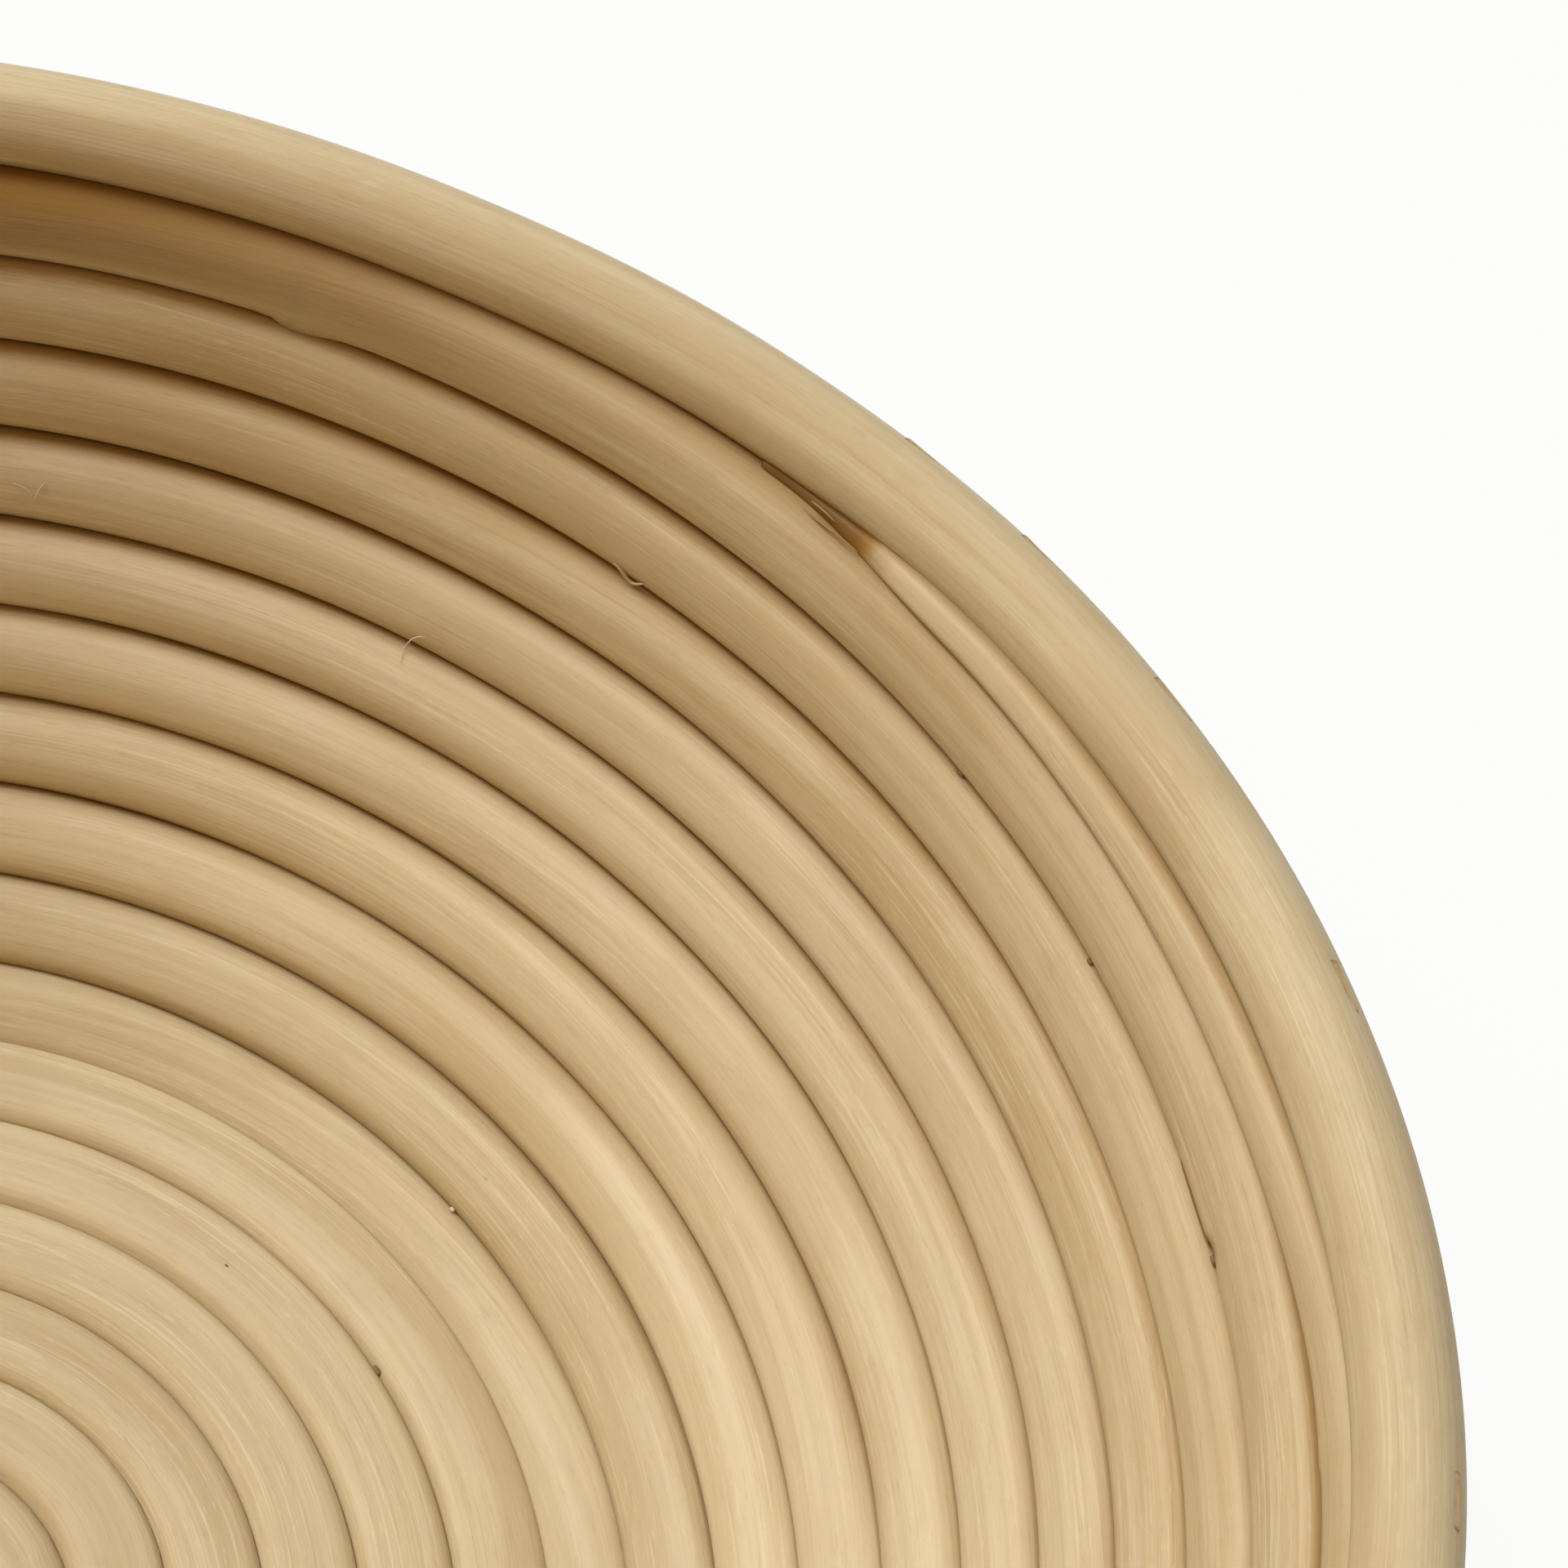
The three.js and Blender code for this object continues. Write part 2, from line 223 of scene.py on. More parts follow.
print("rim hoop radius", round(RIM_HOOP_RADIUS / MM, 1), "mm")

# %% The coil's path, with the crook under the rim
ROUND_UP_TO_TURN = 11.8
FULL_HUMPS_FROM_TURN = 16.4
TABLE_STEPS = 480
TABLE_PAST_TIP = 0.05


def crook(below, above, radius):
    """The middle of a thin cane that touches both the turn below it and the rim above it."""
    from_below = CANE_RADIUS + radius + TURN_GAP
    from_above = RIM_RADIUS + radius + TURN_GAP
    dr, dz = above[0] - below[0], above[1] - below[1]
    span = np.hypot(dr, dz)
    along = (from_below ** 2 - from_above ** 2 + span ** 2) / (2 * span)
    aside = np.sqrt(np.maximum(from_below ** 2 - along ** 2, 0))
    dr, dz = dr / span, dz / span
    return below[0] + along * dr - aside * dz, below[1] + along * dz + aside * dr, np.arctan2(dz, dr)


table_turn = np.arange(0, TIP_TURN + TABLE_PAST_TIP, 1 / TABLE_STEPS)
table = np.array(on_profile(table_turn))
pared = table_turn > TAPER_TURN
pared_turn = table_turn[pared]
table[:, pared] = crook(on_profile(pared_turn - 1), rim_centre(pared_turn), wall_radius(pared_turn))


def even_centre(turn):
    """Radius, height and slope of a perfectly round coil."""
    return tuple(np.interp(turn, table_turn, row) for row in table)


def coil_centre(turn):
    """The same for this coil, whose upper wall stands out a little at two places."""
    r, z, slope = even_centre(turn)
    high = smoothstep(turn, ROUND_UP_TO_TURN, FULL_HUMPS_FROM_TURN)
    return r + stand_out(angle_of(turn), WALL_HUMPS) * high, z, slope


print("places along the coil", len(table_turn))

# %% [markdown]
# Sweeping a cane
#
# A curve with a round bevel would give a perfect hose. A cane is a plant: its thickness wanders, it is never
# quite straight and its ends are cut on a slant. So the rings are worked out as points. Canes that are wound
# tight also press each other, so their sections are a little squarer than a circle.

# %% A seeded wander
WAVES = 6


def wander(length, seed, shortest, longest):
    """A smooth random line about zero, with waves between the two lengths."""
    rng = np.random.default_rng(seed)
    waves = np.geomspace(shortest, longest, WAVES)
    phases = rng.uniform(0, 2 * np.pi, WAVES)
    lines = [np.sin(2 * np.pi * length / wave + phase) for wave, phase in zip(waves, phases)]
    return np.sum(lines, axis=0) / WAVES


print("waves in a wander", WAVES)

# %% Pressed sections
FAR_ANGLE = math.radians(110)
FLOOR_SQUARENESS = 3.7
WALL_SQUARENESS = 2.9
FAR_WALL_SQUARENESS = 2.3
RIM_SQUARENESS = 2.15


def climb(turn):
    """0 on the floor and 1 on the wall, with a smooth change round the corner."""
    return smoothstep(turn, FLOOR_TURNS - 1, FLOOR_TURNS + 2)


def squareness(turn):
    """How square a section is. A circle has 2. The floor is pressed the flattest, the far wall the least."""
    far = smoothstep(np.cos(angle_of(turn) - FAR_ANGLE), -0.2, 0.9)
    wall = WALL_SQUARENESS + (FAR_WALL_SQUARENESS - WALL_SQUARENESS) * far
    return FLOOR_SQUARENESS + (wall - FLOOR_SQUARENESS) * climb(turn)


def rim_squareness(turn):
    """The rim is pressed less than the coil, and the same all round."""
    return np.full_like(turn, RIM_SQUARENESS)


def flattened(wave, power):
    """A sine or cosine that makes a squarer ring, by the power of that ring."""
    return np.sign(wave) * np.abs(wave) ** (2 / power)


print("squareness of floor, wall and rim", FLOOR_SQUARENESS, WALL_SQUARENESS, RIM_SQUARENESS)

# %% Where the rings stand
RING_SPACING = 2.4 * MM
END_MARKS = np.array([0, 0.12, 0.35, 0.8, 1.4, 2.1, 2.9, 3.8, 4.8, 6, 7.4, 9]) * MM
END_ZONE = 11 * MM
NICK_MARKS = np.linspace(-4, 4, 17) * MM
NICK_ZONE = 4.5 * MM
FINE_STEPS = 4000


def ring_turns(start, end, centre, nicks):
    """Turns at which the rings stand: even along the cane, with close ones at each end and at each nick."""
    fine = np.linspace(start, end, FINE_STEPS)
    r, z, _ = centre(fine)
    steps = np.hypot(np.diff(fine) * 2 * np.pi * (r[1:] + r[:-1]) / 2, np.diff(z))
    length = np.concatenate([[0], np.cumsum(steps)])
    whole = length[-1]
    marks = np.linspace(0, whole, int(whole / RING_SPACING))
    marks = marks[(marks > END_ZONE) & (marks < whole - END_ZONE)]
    for nick in np.interp(nicks, fine, length):
        marks = np.concatenate([marks[np.abs(marks - nick) > NICK_ZONE], nick + NICK_MARKS])
    marks = np.sort(np.concatenate([END_MARKS, marks, whole - END_MARKS]))
    return np.interp(marks, length, fine), marks


print("rings every", round(RING_SPACING / MM, 1), "mm")

# %% [markdown]
# The mesh of a cane
#
# Each point also keeps its place on the cane as if that lay straight, with its length along X. The grain is
# painted in that space, so it runs along the cane round every bend and has no seam. A second value on each
# A second value on each point says how far it is painted dark there: painted shade, and a stained nick.

# %% A tube of rings
def tube_faces(rings, sides):
    """The faces of a tube, with its two end faces last."""
    faces = []
    for ring in range(rings - 1):
        for side in range(sides):
            a = ring * sides + side
            b = ring * sides + (side + 1) % sides
            faces.append((a, b, b + sides, a + sides))
    last = (rings - 1) * sides
    faces.append(tuple(reversed(range(sides))))
    faces.append(tuple(range(last, last + sides)))
    return faces


def mesh_piece(name, points, faces, straight, shade_and_stain, finish):
    """A tube as an object of its own, smooth but for its ends."""
    mesh = bpy.data.meshes.new(name)
    mesh.from_pydata(points.tolist(), [], faces)
    place = mesh.attributes.new("straight", "FLOAT_VECTOR", "POINT")
    place.data.foreach_set("vector", straight.astype(np.float32).ravel())
    tint = mesh.attributes.new("shade_and_stain", "FLOAT", "POINT")
    tint.data.foreach_set("value", shade_and_stain.astype(np.float32).ravel())
    mesh.materials.append(finish)
    mesh.shade_smooth()
    for end in (-2, -1):
        mesh.polygons[end].use_smooth = False
    piece = bpy.data.objects.new(name, mesh)
    bpy.context.scene.collection.objects.link(piece)
    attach(piece, "root")
    return piece


print("faces of three rings with six sides", len(tube_faces(3, 6)))

# %% Ends and sections of a cane
SIDES = 32
AROUND = np.arange(SIDES) / SIDES * 2 * np.pi
ROUNDED_END = 0.8 * MM
SOFT_END = 0.12
THICKNESS_WANDER = 0.012
THICKNESS_WAVES = (0.03, 0.4)
OVAL_WANDER = 0.012
OVAL_WAVES = (0.05, 0.5)


def soft_ends(length, soft, fade):
    """The share of its thickness that a cane keeps, which drops toward both ends."""
    near_start = np.clip(length / fade[0], 0, 1)
    near_end = np.clip((length[-1] - length) / fade[1], 0, 1)
    return 1 - soft[0] * (1 - near_start) ** 2 - soft[1] * (1 - near_end) ** 2


def sections(length, thick, power, rough, seed):
    """Rings of points, as distances along the wall and outward from the middle of the cane."""
    uneven = 1 + THICKNESS_WANDER * rough * wander(length, seed, *THICKNESS_WAVES)
    oval = OVAL_WANDER * rough * wander(length, seed + 1, *OVAL_WAVES)
    reach = (thick * uneven)[:, None]
    cos = flattened(np.cos(AROUND)[None], power[:, None])
    sin = flattened(np.sin(AROUND)[None], power[:, None])
    return reach * cos * (1 - oval[:, None]), reach * sin * (1 + oval[:, None])


print("sides of a cane", SIDES)

# %% The sweep
SEEDS_PER_CANE = 10
CALM_END = 20 * MM
UP_WANDER = 0.16 * MM
OUT_WANDER = 0.10 * MM
SWAY_WAVES = (0.04, 0.6)
GRAIN_TWIST = 0.8
TWIST_WAVES = (0.3, 1.5)


def sweep_cane(name, finish, start, end, centre, radius, darkening, seed, laid, across=(0, 0),
               soft=(SOFT_END, SOFT_END), fade=(ROUNDED_END, ROUNDED_END), dent=None, rough=1.0,
               nicks=(), square=squareness):
    """Sweep a cane from one turn to another.

    Darkening says how far each point is painted dark, by painted shade and by stains, and laid how much cane
    lies before this one. Across is how far each end slants across the wall, soft how much thinner it gets,
    and fade over what length. Dent moves points up the wall and outward, rough is how much the cane wanders,
    nicks are turns with close rings, and square gives the shape of the sections.
    """
    turns, length = ring_turns(start, end, centre, nicks)
    rough = rough * smoothstep(length, 0, CALM_END) * smoothstep(length[-1] - length, 0, CALM_END)
    slant = np.interp(turns, [start, end], across)
    lean = slant[:, None] * np.sin(AROUND)[None] / 2
    own = turns[:, None] + lean / (2 * np.pi * centre(turns)[0])[:, None]
    r, z, slope = centre(own)
    thick = radius(turns) * soft_ends(length, soft, fade)
    along, outward = sections(length, thick, square(turns), rough, seed)
    up = along + (UP_WANDER * rough * wander(length, seed + 2, *SWAY_WAVES))[:, None]
    out = outward + (OUT_WANDER * rough * wander(length, seed + 3, *SWAY_WAVES))[:, None]
    if dent is not None:
        move_up, move_out = dent(own, AROUND[None])
        up, out = up + move_up, out + move_out
    rr = r + up * np.cos(slope) + out * np.sin(slope)
    zz = np.maximum(z + up * np.sin(slope) - out * np.cos(slope), 0)
    angle = angle_of(own)
    points = np.stack([rr * np.cos(angle), rr * np.sin(angle), zz], axis=-1).reshape(-1, 3)
    twist = (GRAIN_TWIST * rough * wander(length, seed + 4, *TWIST_WAVES))[:, None]
    run = laid + length[:, None] + lean
    straight = np.stack([run, along * np.cos(twist) - outward * np.sin(twist),
                         along * np.sin(twist) + outward * np.cos(twist)], axis=-1).reshape(-1, 3)
    shade_and_stain = darkening(own, np.broadcast_to(AROUND[None], own.shape))
    piece = mesh_piece(name, points, tube_faces(len(turns), SIDES), straight, shade_and_stain, finish)
    print(name, "length", round(float(length[-1]), 2), "m, points", len(points))
    return piece, laid + length[-1]


print("seeds for each cane", SEEDS_PER_CANE)

# %% [markdown]
# Shader maths in Python
#
# A finish is a tree of nodes. Wiring it by hand hides the thought, so a small class stands for one socket:
# sums of it add Math nodes, and one method adds any other node.

# %% A socket that can be reckoned with
class Shade:
    """A socket in a node tree. The operators add Math nodes, and node() adds any other kind."""

    def __init__(self, tree, socket=None):
        self.tree = tree
        self.socket = socket

    def node(self, kind, settings=None, inputs=None, output=0):
        """Add a node. Its settings come first, then the values or links of its sockets."""
        made = self.tree.nodes.new("ShaderNode" + kind)
        for name, value in (settings or {}).items():
            setattr(made, name, value)
        for name, value in (inputs or {}).items():
            if isinstance(value, Shade):
                self.tree.links.new(value.socket, made.inputs[name])
            else:
                made.inputs[name].default_value = value
        return Shade(self.tree, made.outputs[output] if made.outputs else None)

    def math(self, operation, *values):
        """Add a Math node for one operation."""
        return self.node("Math", {"operation": operation}, dict(enumerate(values)))

    def __add__(self, other):
        return self.math("ADD", self, other)

    def __sub__(self, other):
        return self.math("SUBTRACT", self, other)

    def __rsub__(self, other):
        return self.math("SUBTRACT", other, self)

    def __mul__(self, other):
        return self.math("MULTIPLY", self, other)

    __radd__ = __add__
    __rmul__ = __mul__

    def between(self, low, high):
        """0 below low, 1 above high, and a smooth rise between them."""
        settings = {"interpolation_type": "SMOOTHSTEP"}
        return self.node("MapRange", settings, {"Value": self, "From Min": low, "From Max": high})

    def mix(self, first, second):
        """A colour: the first where this is 0, the second where it is 1. Sockets 6 and 7 are for colours."""
        return self.node("Mix", {"data_type": "RGBA"}, {0: self, 6: first, 7: second}, output=2)

    def stretched(self, along, across):
        """A vector whose X is scaled by the first number, and Y and Z by the second."""
        return self.node("VectorMath", {"operation": "MULTIPLY"}, {0: self, 1: (along, across, across)})

    def noise(self, detail=2.0, roughness=0.5):
        """Noise over this vector, from 0 to 1."""
        inputs = {"Vector": self, "Scale": 1.0, "Detail": detail, "Roughness": roughness}
        return self.node("TexNoise", {}, inputs)


print(Shade.__doc__)

# %% Starting and closing a finish
def new_finish(name):
    """An empty material, and a handle that adds nodes to it."""
    material = bpy.data.materials.new(name)
    material.use_nodes = True
    material.node_tree.nodes.clear()
    return material, Shade(material.node_tree)


def close_finish(shade, surface):
    """Let the material show this surface."""
    shade.node("OutputMaterial", {}, {"Surface": surface})


def srgb(red, green, blue):
    """A colour as it is seen, in 0 to 255, as the linear colour that a shader takes."""
    seen = [value / 255 for value in (red, green, blue)]
    return tuple(v / 12.92 if v <= 0.04045 else ((v + 0.055) / 1.055) ** 2.4 for v in seen) + (1.0,)


print("middle grey as linear light", round(srgb(128, 128, 128)[0], 3))

# %% [markdown]
# The finish of bare cane
#
# Peeled cane is a bundle of straight fibres. From a step away it is straw coloured, with soft stripes where
# bundles differ. Close by there are fine combed lines along it, and short scuffs where a fibre has lifted.
# It has a dull satin sheen that breaks up along the fibres. All of it is noise, stretched along the cane.
# The cane is also painted brown, and nearly black in the deepest places: painted shade in grooves, under
# the rim and on the tip, and a nick that is stained.

# %% Cane finish
# Pale rubbed fibre, then the brown of painted shade and of a stained nick, and the nearly black deepest
# shade.
WORN_CANE = srgb(238, 226, 196)
SHADE_AND_STAIN_COLOUR = srgb(150, 112, 50)
DEEP_SHADE_AND_STAIN_COLOUR = srgb(98, 65, 22)


def cane_finish(name, pale, straw, tan, amber, coat):
    """Stripes and patches first, then lines, fibres and scuffs, and last the painted shade and stains."""
    material, shade = new_finish(name)
    place = shade.node("Attribute", {"attribute_name": "straight"}, output=1)
    stripes = place.stretched(9, 420).noise(2.0)
    bundles = place.stretched(14, 1500).noise(3.0, 0.6)
    combed = place.stretched(55, 2600).noise(2.0, 0.6)
    fibres = place.stretched(40, 5200).noise(2.0)
    patches = place.stretched(22, 90).noise(2.0)
    mottle = place.stretched(130, 520).noise(2.0)
    scuffs = place.stretched(380, 2300).noise(2.0, 0.6)
    frayed = 0.35 + 0.65 * place.stretched(18, 160).noise(1.0).between(0.44, 0.62)
    colour = stripes.between(0.36, 0.66).mix(pale, straw)
    colour = (patches.between(0.46, 0.72) * 0.4).mix(colour, tan)
    colour = (mottle.between(0.5, 0.72) * 0.16).mix(colour, tan)
    colour = (bundles.between(0.52, 0.74) * 0.3).mix(colour, tan)
    colour = (combed.between(0.52, 0.70) * frayed * 0.24).mix(colour, tan)
    colour = ((1 - combed.between(0.30, 0.45)) * frayed * 0.38).mix(colour, WORN_CANE)
    colour = (fibres.between(0.56, 0.72) * frayed * 0.2).mix(colour, amber)
    colour = (scuffs.between(0.58, 0.74) * frayed * 0.28).mix(colour, WORN_CANE)
    colour = ((1 - scuffs.between(0.28, 0.42)) * 0.14).mix(colour, amber)
    # The last two mixes paint shade, and the stained nick, by the value on each point.
    shade_and_stain = shade.node("Attribute", {"attribute_name": "shade_and_stain"}, output=2)
    colour = shade_and_stain.mix(colour, SHADE_AND_STAIN_COLOUR)
    colour = (shade_and_stain - 1).mix(colour, DEEP_SHADE_AND_STAIN_COLOUR)
    rough = 0.40 + 0.22 * bundles + 0.10 * fibres
    height = 0.5 * bundles + 0.5 * combed + 0.3 * fibres + 0.3 * scuffs
    bump = shade.node("Bump", {}, {"Strength": 0.45, "Distance": 0.00016, "Height": height})
    surface = shade.node("BsdfPrincipled", {}, {
        "Base Color": colour, "Roughness": rough, "Normal": bump, "IOR": 1.45, "Specular IOR Level": 0.25,
        "Coat Weight": coat, "Coat Roughness": 0.25,
        "Subsurface Weight": 0.4, "Subsurface Radius": (1.0, 0.62, 0.3), "Subsurface Scale": 0.002})
    close_finish(shade, surface)
    return material


print("stained cane as linear light", [round(value, 3) for value in SHADE_AND_STAIN_COLOUR[:3]])

# %% Four rods of cane, each with its own colours
floor_finish = cane_finish("bare_floor_cane", srgb(212, 199, 168), srgb(201, 186, 152), srgb(187, 165, 129),
                           srgb(158, 122, 78), 0.06)
coil_finish = cane_finish("bare_coil_cane", srgb(221, 208, 178), srgb(210, 195, 161), srgb(196, 174, 137),
                          srgb(167, 130, 84), 0.08)
# The upper rod's colours are darker and browner, partly as painted shade for the top of the wall under the
# rim.
upper_finish = cane_finish("bare_upper_cane", srgb(213, 197, 163), srgb(201, 182, 144), srgb(185, 158, 116),
                           srgb(156, 116, 64), 0.06)
rim_finish = cane_finish("bare_rim_cane", srgb(217, 203, 168), srgb(207, 189, 152), srgb(193, 168, 128),
                         srgb(165, 129, 82), 0.0)
print("finishes", [m.name for m in bpy.data.materials if m.name.startswith("bare")])

# %% [markdown]
# The coil, length by length
#
# No rod is eight metres long, so the coil is spliced. Each joint is a slanted cut, with the two ends laid
# face to face. At the last splice, just under the rim, the two ends lap and are rubbed down until no line
# shows. A small knob is left there. The rod that goes on from it is thinner, and is pared to a tip.

# %% The full thickness
FLOOR_PRESS = 0.22 * MM
WALL_PRESS = 0.12 * MM
SINK_START = TIP_TURN - 12 / 360
TIP_THINNING = 0.6


def full_radius(turn):
    """The cane at full thickness. Pressed canes lie closer, and the end of the tip is pared to a sliver."""
    pressed = FLOOR_PRESS + (WALL_PRESS - FLOOR_PRESS) * climb(turn)
    sliver = 1 - TIP_THINNING * smoothstep(turn, SINK_START, TIP_TURN)
    return (cane_radius(turn) + SWELL + pressed) * sliver


print("thickness at the last splice", round(2 * float(full_radius(TOP_SPLICE)) / MM, 2), "mm")

# %% Knob, nick and tip
KNOB = 1.3 * MM
KNOB_BEFORE = 4 * MM
KNOB_AFTER = 1.6 * MM
NICK_TURN = 16.3185
NICK_WIDTH = 1.8 * MM
NICK_DEPTH = 1.0 * MM
SINK_END = TIP_TURN - 2 / 360
TIP_SINK = 1.6 * MM
EDGE_LIFT = 0.3 * MM
EDGE_RISE_TURNS = 0.05


def low_side(around):
    """1 on the side of the cane that faces the turn below, and 0 on the other side."""
    return np.clip(-np.cos(around), 0, 1) ** 1.5


def nick_share(turn):
    """1 at the nick, falling to 0 on both sides of it."""
    return np.exp(-((turn - NICK_TURN) * 2 * np.pi * RIM_HOOP_RADIUS / NICK_WIDTH) ** 2)


def knob(turn):
    """The last splice ends in a small knob, which hangs over the turn below."""
    past = (turn - TOP_SPLICE) * 2 * np.pi * RIM_HOOP_RADIUS
    return KNOB * np.exp(-(past / np.where(past < 0, KNOB_BEFORE, KNOB_AFTER)) ** 2)


def upper_shape(turn, around):
    """The upper length has a nick in its lower side, and ends in the knob."""
    return (NICK_DEPTH * nick_share(turn) - knob(turn)) * low_side(around), 0


def top_shape(turn, around):
    """The top length starts at that knob. Its pared end has a lifted edge, and the tip lies deep."""
    sunk = smoothstep(turn, SINK_START, SINK_END)
    lifted = smoothstep(turn, TAPER_TURN, TAPER_TURN + EDGE_RISE_TURNS) * (1 - sunk)
    return -knob(turn) * low_side(around), TIP_SINK * sunk - EDGE_LIFT * lifted * low_side(around)


print("knob", round(KNOB / MM, 1), "mm, nick", round(NICK_DEPTH / MM, 1), "mm deep")

# %% Where the coil is painted dark: shade in its grooves, under the rim and on the tip, and a stained nick
FARTHEST_ANGLE = math.radians(127)
CUT_START = SINK_START + 4 / 360
CUT_END = SINK_START + 6.5 / 360


def coil_shade_and_stain(turn, around):
    """Painted shade in the grooves, under the rim and on the pared cut, and a stained nick."""
    angle = angle_of(turn)
    upward = np.cos(around)
    side = np.abs(upward)
    high = smoothstep(turn, FLOOR_TURNS - 1, FLOOR_TURNS + 5)
    far = smoothstep(np.cos(angle - FAR_ANGLE), -0.6, 0.8)
    farthest = smoothstep(np.cos(angle - FARTHEST_ANGLE), 0.35, 1)
    open_side = smoothstep(turn, TIP_TURN - 1.05, TIP_TURN - 0.95) * smoothstep(upward, -0.2, 0.2)
    # Painted shade in the seams and grooves between turns, stronger on the wall and toward the far wall.
    seam = (0.4 + 0.35 * high) * smoothstep(side, 0.78, 0.94) * (1 - 0.7 * open_side)
    groove = (0.15 + 0.35 * far * high) * smoothstep(side, 0.45, 1)
    last_turn = smoothstep(turn, TIP_TURN - 1.15, TIP_TURN - 0.95)
    covered = last_turn * (1 - smoothstep(turn, TIP_TURN - 0.1, TIP_TURN))
    # Painted shadow of the rim on the last turn, deepest on the far wall.
    rim_shadow = (0.1 + farthest) * covered * smoothstep(upward, -1, 0.8)
    # Painted shade on the pared tip, which lies deep in the crook under the rim.
    cut = 1.6 * smoothstep(turn, CUT_START, CUT_END)
    nick = 1.3 * nick_share(turn) * smoothstep(-upward, 0.1, 0.7)
    return np.maximum.reduce([seam, groove, rim_shadow, cut, nick])


print("stain on the pared cut", round(float(coil_shade_and_stain(TIP_TURN, 0.0)), 2))

# %% The six lengths of the coil
SCARF_LENGTH = 26 * MM
SCARF_GAP = 0.25 * MM
LAP_LENGTH = 8 * MM
LAPPED_END = 0.03
PARED_END = 0.3
HALF_LAP = LAP_LENGTH / 2 / (2 * math.pi * RIM_HOOP_RADIUS)


def end_before(splice):
    """Where a length ends, so that half of the joint's gap is left before the splice."""
    return splice - SCARF_GAP / 2 / (2 * np.pi * coil_centre(splice)[0])


SLANTED = {"across": (SCARF_LENGTH, SCARF_LENGTH)}
LENGTHS = [
    ("floor_length", "floor_cane", floor_finish, START_TURN, end_before(FLOOR_SPLICE),
     {"across": (0, SCARF_LENGTH)}),
    ("foot_wall_length", "foot_wall_cane", floor_finish, FLOOR_SPLICE, end_before(FOOT_SPLICE), SLANTED),
    ("lower_wall_length", "lower_wall_cane", coil_finish, FOOT_SPLICE, end_before(LOWER_SPLICE), SLANTED),
    ("middle_wall_length", "middle_wall_cane", coil_finish, LOWER_SPLICE, end_before(MIDDLE_SPLICE), SLANTED),
    ("upper_wall_length", "upper_wall_cane", upper_finish, MIDDLE_SPLICE, TOP_SPLICE + HALF_LAP,
     {"across": (SCARF_LENGTH, 0), "soft": (SOFT_END, LAPPED_END), "fade": (ROUNDED_END, LAP_LENGTH),
      "dent": upper_shape, "nicks": [NICK_TURN]}),
    ("top_wall_length", "top_wall_cane", upper_finish, TOP_SPLICE - HALF_LAP, TIP_TURN,
     {"soft": (LAPPED_END, PARED_END), "fade": (LAP_LENGTH, ROUNDED_END), "dent": top_shape}),
]
laid = 0
for number, (name, node, finish, start, end, ends) in enumerate(LENGTHS, 1):
    if node == "top_wall_cane":
        laid -= LAP_LENGTH  # the grain runs on through the lap
    cane, laid = sweep_cane(name, finish, start, end, coil_centre, full_radius, coil_shade_and_stain,
                            SEEDS_PER_CANE * number, laid, **ends)
    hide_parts(node)

# %% [markdown]
# The rim
#
# The rim is one thicker rod, bent to a hoop and closed by a long slanted joint. It is swept like the coil.
# It wanders less than the coil does.

# %% The rim hoop
RIM_SEED = SEEDS_PER_CANE * (len(LENGTHS) + 1)
RIM_ROUGHNESS = 0.4
rim_start = float(turn_at(RIM_JOINT_ANGLE))
rim_half_gap = SCARF_GAP / 2 / (2 * math.pi * RIM_HOOP_RADIUS)


def rim_full_radius(turn):
    """The rim has one thickness all round."""
    return np.full_like(turn, RIM_RADIUS + RIM_SWELL)


def rim_crease_shade(turn, around):
    """Painted shade along the crease where the rim lies on the coil."""
    return 0.5 * smoothstep(-np.cos(around), 0.6, 1)


rim, _ = sweep_cane("rim_hoop", rim_finish, rim_start + rim_half_gap, rim_start + 1 - rim_half_gap,
                    rim_centre, rim_full_radius, rim_crease_shade, RIM_SEED, laid, **SLANTED,
                    rough=RIM_ROUGHNESS, square=rim_squareness)
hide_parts("rim_cane")

# %% [markdown]
# The staples
#
# The rim is held by narrow staples of flat wire, shot in along the cane. The wire has tarnished to the colour
# of the cane, and only its back shows, darker at both ends. The staples between the turns are hidden, so
# those keep the solids and get a finish alone.

# %% The bent wire
CROWN_WIDTH = 6.2 * MM
WIRE_THICKNESS = 0.7 * MM
WIRE_WIDTH = 0.7 * MM
LEG_LENGTH = 12 * MM
CROWN_ROUNDING = 0.6 * MM


def staple_outline():
    """The bent wire seen from its side: crown along the first axis, legs along the second."""
    corner = np.linspace(0, np.pi / 2, 5)
    round_x = CROWN_WIDTH / 2 - CROWN_ROUNDING * (1 - np.sin(corner))
    round_y = CROWN_ROUNDING * (1 - np.cos(corner))
    inner = CROWN_WIDTH / 2 - WIRE_THICKNESS
    leg = [(CROWN_WIDTH / 2, LEG_LENGTH), (inner, LEG_LENGTH), (inner, WIRE_THICKNESS)]
    right = list(zip(round_x, round_y)) + leg
    return np.array(right + [(-x, y) for x, y in reversed(right)])


print("points in a staple's outline", len(staple_outline()))

